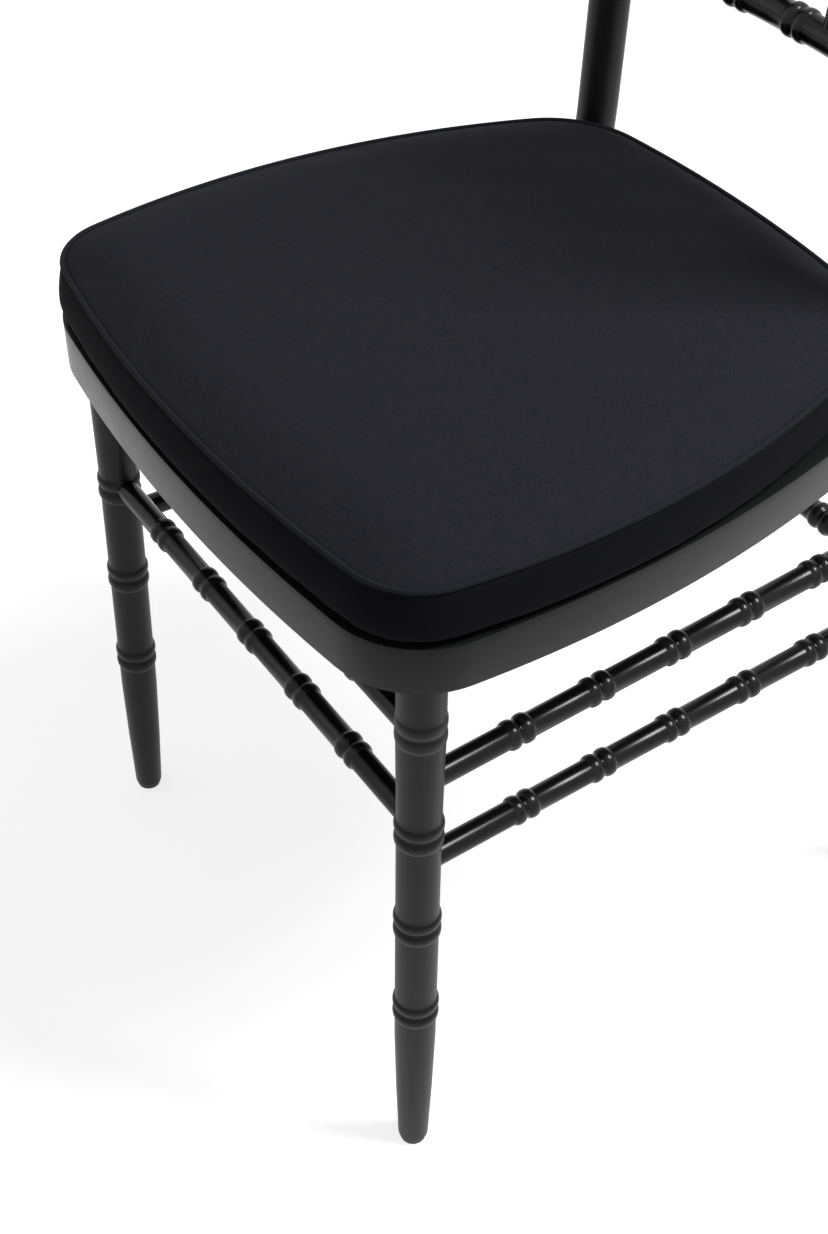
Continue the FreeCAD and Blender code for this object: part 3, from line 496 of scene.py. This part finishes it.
# (name, distance of the front and rear rods below the frame, that of the side rods)
LEVELS = (("upper", 0.0434, 0.0798), ("lower", 0.1134, 0.1437))

gloss = lacquer("gloss_black_lacquer", (0.0022, 0.0023, 0.0026, 1), (0.030, 0.030, 0.032, 1),
                0.17, 0.22, 120.0)


def rod_stations(length, start, pitch, base, ridge, rings=5):
    """Stations of an even rod with double rings about its middle."""
    stations = [(start, base, 0)]
    for i in range(rings):
        stations += double_ring(length / 2 + pitch * (i - (rings - 1) / 2), base, ridge,
                                ROD_PAIR)
    return stations + [(length - start, base, 0)]


def leg_at(side, height):
    """Point of a front leg's axis at a height."""
    point = leg_foot.lerp(leg_head, height / FRAME_BOTTOM)
    return Vector((side * point.x, point.y, height))


def post_at(side, height):
    """Point of a back post's axis at a height."""
    return at_height(post_axis(side), height)[1]


def stretcher(node, start, end, pitch):
    """A rod between two points of the legs' axes, its ends hidden in the legs."""
    length = (end - start).length
    rod = turn(node + "_turned", rod_stations(length, LEG - TENON, pitch, ROD, ROD_RING),
               ROD_SIDES)
    lay_along(rod, [start, end])
    fit(rod, gloss.material, "black_lacquer", node)


for word, front_drop, side_drop in LEVELS:
    level = FRAME_BOTTOM - front_drop
    stretcher("front_stretcher_" + word, leg_at(-1, level), leg_at(1, level), FRONT_PITCH)
    stretcher("rear_stretcher_" + word, post_at(-1, level), post_at(1, level), REAR_PITCH)
    level = FRAME_BOTTOM - side_drop
    for side, hand in ((1, "left"), (-1, "right")):
        stretcher("side_stretcher_%s_%s" % (word, hand), leg_at(side, level),
                  post_at(side, level), SIDE_PITCH)


# Back rails: three turned rods bent to a bow, standing between the posts. The lower two hold
# the spindles, and the third is the crest.
RAIL, RAIL_RING, RAIL_BOW = 0.00865, 0.0101, 0.650
SPINDLES = 6
RAIL_PITCH = (HALF_WIDTH - HIP_IN - 0.002) * 2 / SPINDLES


def bow_point(height, across):
    """Point of a bowed rail at a distance from the chair's middle."""
    end = post_at(1, height)
    sag = math.sqrt(RAIL_BOW ** 2 - across ** 2) - math.sqrt(RAIL_BOW ** 2 - end.x ** 2)
    return Vector((across, end.y + sag, height))


def back_rail(node, height):
    """A bowed rail between the posts, with stations close enough for it to bend smoothly."""
    reach = post_at(1, height).x
    path = [bow_point(height, reach * (i / 20 - 1)) for i in range(41)]
    length = measure(path)[-1]
    coarse = rod_stations(length, POST - TENON, RAIL_PITCH, RAIL, RAIL_RING)
    stations = coarse[:1]
    for station in coarse[1:]:
        gap = station[0] - stations[-1][0]
        count = max(int(gap / RAIL_STEP), 1)
        low = stations[-1][0]
        stations += [(low + gap * i / count, RAIL, 0) for i in range(1, count)]
        stations.append(station)
    rail = turn(node + "_turned", stations, ROD_SIDES)
    lay_along(rail, path)
    fit(rail, gloss.material, "black_lacquer", node)


back_rail("back_rail_lower", LOWER_HEIGHT)
back_rail("back_rail_middle", MIDDLE_HEIGHT)
back_rail("back_rail_crest", CREST_HEIGHT)


# Back spindles: six slim turned rods, a little thinner at their ends, each with one double
# ring at its middle, glued between the lower two back rails.
SPINDLE, SPINDLE_RING = 0.0063, 0.0077
SPINDLE_SIDES = 26
# (share of the length from an end, radius)
SWELL = ((0.02, 0.00555), (0.10, 0.0059), (0.20, 0.0062), (0.30, SPINDLE))

low, high = bow_point(LOWER_HEIGHT, 0), bow_point(MIDDLE_HEIGHT, 0)
spindle_length = (high - low).length
spindle_stations = [(spindle_length * share, radius, 0) for share, radius in SWELL]
spindle_stations += double_ring(spindle_length / 2, SPINDLE, SPINDLE_RING, ROD_PAIR)
spindle_stations += [(spindle_length * (1 - share), radius, 0) for share, radius in SWELL[::-1]]
straight_spindle = turn("spindle", spindle_stations, SPINDLE_SIDES)
for i in range(SPINDLES):
    across = RAIL_PITCH * (i - (SPINDLES - 1) / 2)
    spindle = copy_of(straight_spindle, "back_spindle_turned_%d" % (i + 1))
    lay_along(spindle, [bow_point(LOWER_HEIGHT, across), bow_point(MIDDLE_HEIGHT, across)])
    fit(spindle, gloss.material, "black_lacquer", "back_spindle_%d" % (i + 1))
bpy.data.objects.remove(straight_spindle)


# Seat frame: four bowed rails of flat hardwood mitred at the corners, with eased edges, a
# rabbet for the panel and holes for the bolts that hold the front legs.
RAIL_WIDTH, RABBET, PANEL = 0.036, 0.010, 0.005
BOLT_HOLE, BOLT_HOLE_DEPTH, EASED_EDGE = 0.0062, 0.0084, 0.0013
FRAME_ARCS = dict(front=FRAME_FRONT, front_arc=1.100, half_width=HALF_WIDTH,
                  side_place=0.1124, side_arc=0.797, back=FRAME_BACK, back_arc=0.800,
                  front_corner=0.056, rear_corner=0.052)


def seat_arcs(front, front_arc, half_width, side_place, side_arc, back, back_arc,
              front_corner, rear_corner):
    """(centre, radius, start, end) of the eight tangent arcs of a seat outline."""
    fronts = (Vector((0, front_arc - front)), front_arc)
    sides = (Vector((half_width - side_arc, -side_place)), side_arc)
    backs = (Vector((0, back - back_arc)), back_arc)

    def corner(one, two, radius):
        a, b = one[1] - radius, two[1] - radius
        way = two[0] - one[0]
        along = (a * a - b * b + way.length_squared) / (2 * way.length)
        off = math.sqrt(a * a - along * along)
        way.normalize()
        return max((one[0] + way * along + way.orthogonal() * off * sign for sign in (1, -1)),
                   key=lambda spot: spot.x)

    def mirrored(spot):
        return Vector((-spot.x, spot.y))

    near, far = corner(fronts, sides, front_corner), corner(sides, backs, rear_corner)
    centres = [fronts[0], near, sides[0], far, backs[0], mirrored(far), mirrored(sides[0]),
               mirrored(near)]
    radii = [front_arc, front_corner, side_arc, rear_corner, back_arc, rear_corner, side_arc,
             front_corner]
    turns = []
    for i in range(8):
        wide, small = (i, (i + 1) % 8) if i % 2 == 0 else ((i + 1) % 8, i)
        ray = centres[small] - centres[wide]
        turns.append(math.atan2(ray.y, ray.x))
    arcs = []
    for i in range(8):
        start, end = turns[i - 1], turns[i]
        while end < start:
            end += 2 * math.pi
        arcs.append((centres[i], radii[i], start, end))
    return arcs


def outline(arcs, inset, height, counts=(26, 16)):
    """Points round a seat outline drawn in by inset, the same number for every inset."""
    points = []
    for i, (centre, radius, start, end) in enumerate(arcs):
        count = counts[i % 2]
        for k in range(count):
            a = start + (end - start) * k / count
            points.append(Vector((centre.x + math.cos(a) * (radius - inset),
                                  centre.y + math.sin(a) * (radius - inset), height)))
    return points


def outlined_face(name, points):
    """A flat face cut to an outline."""
    bpy.ops.mesh.primitive_circle_add(vertices=len(points), radius=0.2, fill_type="NGON")
    piece = bpy.context.object
    piece.name = name
    for vertex, point in zip(piece.data.vertices, points):
        vertex.co = point
    return piece


def select_faces(piece, wanted):
    """Selects, in edit mode, the faces for which wanted is true."""
    bpy.ops.mesh.select_all(action="DESELECT")
    bpy.ops.object.mode_set(mode="OBJECT")
    for polygon in piece.data.polygons:
        polygon.select = wanted(polygon)
    bpy.ops.object.mode_set(mode="EDIT")


frame_arcs = seat_arcs(**FRAME_ARCS)
outer = outline(frame_arcs, 0, FRAME_BOTTOM)
ring = outlined_face("seat_frame", outer)
bpy.ops.object.mode_set(mode="EDIT")
bpy.ops.mesh.select_mode(type="FACE")
bpy.ops.mesh.inset(thickness=RAIL_WIDTH - RABBET, use_even_offset=True)
bpy.ops.mesh.inset(thickness=RABBET, use_even_offset=True)
bpy.ops.mesh.delete(type="FACE")
bpy.ops.mesh.select_all(action="SELECT")
bpy.ops.mesh.extrude_region_move(
    TRANSFORM_OT_translate={"value": (0, 0, FRAME_TOP - FRAME_BOTTOM - PANEL)})
edge_places = {(round(p.x, 5), round(p.y, 5)) for p in outer}
select_faces(ring, lambda face: face.center.z > FRAME_TOP - PANEL - 1e-5 and any(
    (round(ring.data.vertices[i].co.x, 5), round(ring.data.vertices[i].co.y, 5)) in edge_places
    for i in face.vertices))
bpy.ops.mesh.extrude_region_move(TRANSFORM_OT_translate={"value": (0, 0, PANEL)})
bpy.ops.mesh.select_all(action="SELECT")
bpy.ops.mesh.normals_make_consistent(inside=False)
bpy.ops.object.mode_set(mode="OBJECT")

for side in (1, -1):
    bpy.ops.mesh.primitive_cylinder_add(vertices=32, radius=BOLT_HOLE,
                                        depth=BOLT_HOLE_DEPTH)
    drill = bpy.context.object
    drill.location = leg_at(side, FRAME_TOP)
    drill.rotation_euler = (leg_head - leg_foot).to_track_quat("Z", "Y").to_euler()
    hole = ring.modifiers.new("bolt_hole", "BOOLEAN")
    hole.object = drill
    hole.solver = "EXACT"
    bpy.context.view_layer.objects.active = ring
    bpy.ops.object.modifier_apply(modifier=hole.name)
    bpy.data.objects.remove(drill)

eased = ring.modifiers.new("eased_edges", "BEVEL")
eased.width = EASED_EDGE
eased.segments = 3
eased.limit_method = "ANGLE"
eased.angle_limit = math.radians(60)
bpy.ops.object.modifier_apply(modifier=eased.name)
bpy.ops.object.select_all(action="DESELECT")

timber = Finish("satin_black_frame")
place = timber.own_place()
grain = timber.noise(timber.scaled(place, (40, 40, 900)), 1.0, 4.0)
cloud = timber.noise(place, 30.0, 3.0)
coat = timber.blend(cloud, (0.006, 0.007, 0.0065, 1), (0.010, 0.011, 0.010, 1))
peel = timber.noise(place, 140.0) + grain * 0.3
timber.surface(Base_Color=coat, Roughness=0.22 + cloud * 0.12, Specular_IOR_Level=0.12,
               Normal=timber.relief(peel, 0.35, 0.0002))

near, far = frame_arcs[1][0], frame_arcs[3][0]
heart = Vector((0, (near.y + far.y) / 2, FRAME_BOTTOM))
mitres = {"front_left": near, "rear_left": far, "rear_right": Vector((-far.x, far.y)),
          "front_right": Vector((-near.x, near.y))}
for word, one, two in (("front", "front_right", "front_left"),
                       ("left", "front_left", "rear_left"),
                       ("rear", "rear_left", "rear_right"),
                       ("right", "rear_right", "front_right")):
    rail = copy_of(ring, "seat_rail_shaped_" + word)
    bpy.context.view_layer.objects.active = rail
    rail.select_set(True)
    bpy.ops.object.mode_set(mode="EDIT")
    for corner_name, sign in ((one, -1), (two, 1)):
        spot = mitres[corner_name]
        way = Vector((spot.x - heart.x, spot.y - heart.y, 0)).normalized()
        bpy.ops.mesh.select_all(action="SELECT")
        bpy.ops.mesh.bisect(plane_co=heart, plane_no=Vector((-way.y, way.x, 0)) * sign,
                            use_fill=True, clear_outer=True)
    bpy.ops.object.mode_set(mode="OBJECT")
    bpy.ops.object.shade_smooth_by_angle(angle=math.radians(35))
    bpy.ops.object.select_all(action="DESELECT")
    fit(rail, timber.material, "black_lacquer", "seat_rail_" + word)
bpy.data.objects.remove(ring)


# Hidden parts of the seat, which show when the cushion is off or from below: a plywood panel
# and sawn corner blocks, both sprayed black, bolts, threaded sleeves, plastic glides and the
# hook and loop tape that holds the cushion. Their shapes are the CAD's own.
BARE = {
    # part: (material, colour, stretch of the grain, roughness, metallic, depth of the grain)
    "seat_panel": ("sprayed_plywood", (0.022, 0.022, 0.021, 1), (60, 700, 700), 0.55, 0.0,
                   0.0002),
    "blocks": ("sprayed_block", (0.030, 0.028, 0.026, 1), (500, 500, 60), 0.65, 0.0, 0.0002),
    "bolts": ("zinc_plated_steel", (0.42, 0.42, 0.43, 1), (900, 900, 900), 0.32, 1.0,
              0.0002),
    "sleeves": ("turned_brass", (0.55, 0.40, 0.18, 1), (600, 600, 600), 0.35, 1.0, 0.0002),
    "glides": ("moulded_glide", (0.020, 0.020, 0.020, 1), (400, 400, 400), 0.55, 0.0,
               0.0002),
    "tape": ("hook_and_loop_tape", (0.012, 0.012, 0.013, 1), (1500, 1500, 1500), 0.9, 0.0,
             0.0006),
}
dressed = {}
for kind, (label, colour, scale, dull, metal, depth) in BARE.items():
    finish = Finish(label)
    fleck = finish.noise(finish.scaled(finish.own_place(), scale), 1.0, 3.0)
    stain = finish.noise(finish.own_place(), 35.0, 2.0)
    light = [min(c * 1.7, 1) for c in colour[:3]] + [1]
    finish.surface(Base_Color=finish.blend(fleck * stain, colour, light), Metallic=metal,
                   Roughness=dull + fleck * 0.12, Normal=finish.relief(fleck, 0.5, depth))
    dressed[kind] = finish.material
for node, kind in (("seat_panel", "seat_panel"), ("corner_block_front_left", "blocks"),
                   ("corner_block_front_right", "blocks"),
                   ("corner_block_rear_left", "blocks"), ("corner_block_rear_right", "blocks"),
                   ("front_leg_bolts", "bolts"), ("rear_post_bolts", "bolts"),
                   ("post_inserts", "sleeves"), ("foot_glides", "glides"),
                   ("panel_hook_strips", "tape"), ("cushion_loop_strips", "tape")):
    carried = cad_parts[node]
    carried.data.materials.clear()
    carried.data.materials.append(dressed[kind])


# Cushion: a foam pad on a thin board, covered in a fine dark woven cloth. A boxing strip runs
# round its side, and its top is crowned and drawn down a little at the seam.
TAPE, TAPE_GAP = 0.0022, 0.0003
CUSHION_BOTTOM = FRAME_TOP + TAPE + TAPE_GAP
BOXING, PIPING = 0.031, 0.0044
SEAM_HEIGHT = CUSHION_BOTTOM + BOXING
CUSHION_ARCS = dict(front=FRAME_FRONT - 0.0020, front_arc=0.930,
                    half_width=HALF_WIDTH - 0.0012, side_place=0.1080, side_arc=0.530,
                    back=FRAME_BACK - 0.0075, back_arc=0.784,
                    front_corner=0.045, rear_corner=0.068)
# sections of the cover from its underside round its side and over its top: (drawn in from
# the outline, height above the bottom)
SECTIONS = ((0.0450, 0.0000), (0.0200, 0.0000), (0.0040, 0.0000), (-0.0006, 0.0004),
            (-0.0034, 0.0030), (-0.0042, 0.0080), (-0.0038, 0.0140), (-0.0028, 0.0200),
            (-0.0012, 0.0256), (0.0003, 0.0292), (0.0026, 0.0316), (0.0066, 0.0336),
            (0.0130, 0.0356), (0.0210, 0.0375), (0.0300, 0.0391), (0.0430, 0.0404))
# further in, the last section's outline shrinks towards the middle: (share, height)
CROWN = ((0.82, 0.0408), (0.62, 0.0411), (0.42, 0.0412), (0.20, 0.0412), (0.05, 0.0412))
CROWN_MIDDLE = Vector((0, -0.045, 0))
NET = 0.0042
PRESSURE = 4.0
# the most that the foam pushes the cover out, and how far the seam and the seat hold it back
MOST_PUSH, SEAM_HOLD, SEAT_HOLD = 0.0035, 0.009, 0.010
# below this height over the seam, only this share of the push is left
SIDE_TOP, SIDE_SHARE = 0.004, 0.35

cushion_arcs = seat_arcs(**CUSHION_ARCS)
loops = [outline(cushion_arcs, drawn, CUSHION_BOTTOM + up) for drawn, up in SECTIONS]
flat = Vector((1, 1, 0))
for share, up in CROWN:
    inner = outline(cushion_arcs, SECTIONS[-1][0], CUSHION_BOTTOM + up)
    loops.append([CROWN_MIDDLE + (point - CROWN_MIDDLE) * flat * share
                  + Vector((0, 0, CUSHION_BOTTOM + up)) for point in inner])
cover = outlined_face("cushion_padded", loops[0])
bpy.ops.object.mode_set(mode="EDIT")
bpy.ops.mesh.select_mode(type="FACE")
for loop in loops[1:]:
    bpy.ops.mesh.extrude_region_move(TRANSFORM_OT_translate={"value": (0, 0, 0.001)})
    bpy.ops.object.mode_set(mode="OBJECT")
    moved = [vertex for vertex in cover.data.vertices if vertex.select]
    for vertex, point in zip(moved, loop):
        vertex.co = point
    bpy.ops.object.mode_set(mode="EDIT")
select_faces(cover, lambda face: len(face.vertices) > 4)
bpy.ops.mesh.poke()
bpy.ops.mesh.select_all(action="SELECT")
bpy.ops.mesh.normals_make_consistent(inside=False)
bpy.ops.object.mode_set(mode="OBJECT")
bpy.ops.object.select_all(action="DESELECT")

# the foam's push: the cover is blown up a little as cloth, held at its seams and where it
# lies on the seat
bpy.context.view_layer.objects.active = cover
cover.select_set(True)
net = cover.modifiers.new("even_net", "REMESH")
net.mode = "VOXEL"
net.voxel_size = NET
bpy.ops.object.modifier_apply(modifier=net.name)
before = [vertex.co.copy() for vertex in cover.data.vertices]
cloth = cover.modifiers.new("cloth", "CLOTH")
cloth.settings.quality = 5
cloth.settings.use_pressure = True
cloth.settings.uniform_pressure_force = PRESSURE
cloth.settings.effector_weights.gravity = 0.0
for number in range(1, 21):
    bpy.context.scene.frame_set(number)
bpy.ops.object.modifier_apply(modifier=cloth.name)
bpy.context.scene.frame_set(1)
for vertex, start in zip(cover.data.vertices, before):
    push = vertex.co - start
    off_seam = min(abs(start.z - CUSHION_BOTTOM - BOXING) / SEAM_HOLD, 1.0)
    off_seat = min(max((start.z - CUSHION_BOTTOM) / SEAT_HOLD, 0.0), 1.0)
    free = 1.0 if start.z > SEAM_HEIGHT + SIDE_TOP else SIDE_SHARE
    most = MOST_PUSH * off_seam * off_seat * free
    if push.length > most:
        push = push.normalized() * most
    vertex.co = start + push
fine = cover.modifiers.new("fine", "SUBSURF")
fine.levels = fine.render_levels = 1
bpy.ops.object.modifier_apply(modifier=fine.name)
bpy.context.view_layer.objects.active = cover
cover.select_set(True)
bpy.ops.object.shade_smooth()
bpy.ops.object.select_all(action="DESELECT")

THREAD = 2600.0
DARK_YARN, LIGHT_YARN = (0.0052, 0.0056, 0.0080, 1), (0.0200, 0.0210, 0.0265, 1)
NAP, PAINTED_BOXING_SHADE = (0.0190, 0.0175, 0.0215, 1), (0.0010, 0.0011, 0.0012, 1)
cloth_finish = Finish("dark_woven_cloth")
place = cloth_finish.own_place()
split = cloth_finish.node("ShaderNodeSeparateXYZ", inputs={0: place})
axes = [Signal(cloth_finish, split.socket.node.outputs[i]) for i in range(3)]


def thread(along):
    """Ribs of thread that follow each other along one direction."""
    return cloth_finish.node("ShaderNodeMath", {"operation": "SINE"}, {0: along * THREAD})


weave = thread(axes[0] + axes[2]) * thread(axes[1] + axes[2])
slub = cloth_finish.noise(cloth_finish.scaled(place, (700, 700, 700)), 1.0, 3.0)
shade = cloth_finish.ramp(cloth_finish.noise(place, 210.0, 4.0), 0.30, 0.70)
yarn = cloth_finish.node("ShaderNodeMath", {"operation": "MULTIPLY_ADD", "use_clamp": True},
                         {0: weave, 1: 0.10, 2: slub})
navy = cloth_finish.blend(yarn, DARK_YARN, LIGHT_YARN)
navy = cloth_finish.blend(shade * 0.40, navy, NAP)
# the boxing strip below the seam is painted darker, as shade on the cushion's side
below = cloth_finish.node("ShaderNodeMapRange", inputs={
    0: axes[2], 1: SEAM_HEIGHT - 0.0035, 2: SEAM_HEIGHT, 3: 0.72, 4: 0.0})
navy = cloth_finish.blend(below, navy, PAINTED_BOXING_SHADE)
ripple = cloth_finish.noise(place, 9.0, 1.0)
height = weave * 0.04 + slub * 0.40 + ripple * 0.6
cloth_finish.surface(Base_Color=navy, Roughness=0.78 + slub * 0.15, Specular_IOR_Level=0.05,
                     Normal=cloth_finish.relief(height, 0.5, 0.0008))
cover.data.materials.clear()
cover.data.materials.append(cloth_finish.material)
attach(cover, "cushion")
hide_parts("cushion_cover", "cushion_foam")


# Piping: a cord wrapped in the same cloth, sewn in all round the cushion's top edge.
# its place outside and above the seam, and the share of its thickness that shows
SEWN_OUT, SEWN_UP, SHOWN = 0.0006, 0.0004, 0.72
line = outline(cushion_arcs, PIPING / 2 - SEWN_OUT, CUSHION_BOTTOM + BOXING + SEWN_UP)
bpy.ops.mesh.primitive_circle_add(vertices=len(line), radius=0.2, fill_type="NOTHING")
piping = bpy.context.object
piping.name = "cushion_piping"
for vertex, point in zip(piping.data.vertices, line):
    vertex.co = point
bpy.ops.object.convert(target="CURVE")
piping = bpy.context.object
piping.data.dimensions = "3D"
piping.data.bevel_depth = PIPING / 2 * SHOWN
piping.data.bevel_resolution = 4
bpy.ops.object.convert(target="MESH")
piping = bpy.context.object
bpy.ops.object.mode_set(mode="EDIT")
bpy.ops.mesh.select_all(action="SELECT")
bpy.ops.mesh.remove_doubles(threshold=1e-5)
bpy.ops.mesh.normals_make_consistent(inside=False)
bpy.ops.object.mode_set(mode="OBJECT")
bpy.ops.object.shade_smooth()
bpy.ops.object.select_all(action="DESELECT")
cord = Finish("piping_cloth")
place = cord.own_place()
twist = cord.noise(cord.scaled(place, (900, 900, 900)), 1.0, 3.0)
cord.surface(Base_Color=cord.blend(twist, DARK_YARN, (0.016, 0.0165, 0.021, 1)),
             Roughness=0.70 + twist * 0.15, Specular_IOR_Level=0.08,
             Normal=cord.relief(twist, 0.4, 0.0004))
piping.data.materials.clear()
piping.data.materials.append(cord.material)
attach(piping, "cushion")
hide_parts("cushion_welt")


# Board: thin bare plywood cut to the cushion's outline. It lies under the foam, inside the
# cover, so it never shows.
ply = Finish("bare_plywood")
fleck = ply.noise(ply.scaled(ply.own_place(), (30, 500, 500)), 1.0, 3.0)
ply.surface(Base_Color=ply.blend(fleck, (0.45, 0.33, 0.20, 1), (0.36, 0.26, 0.15, 1)),
            Roughness=0.8, Normal=ply.relief(fleck, 0.4, 0.0003))
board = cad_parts["cushion_board"]
board.data.materials.clear()
board.data.materials.append(ply.material)


low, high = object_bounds()
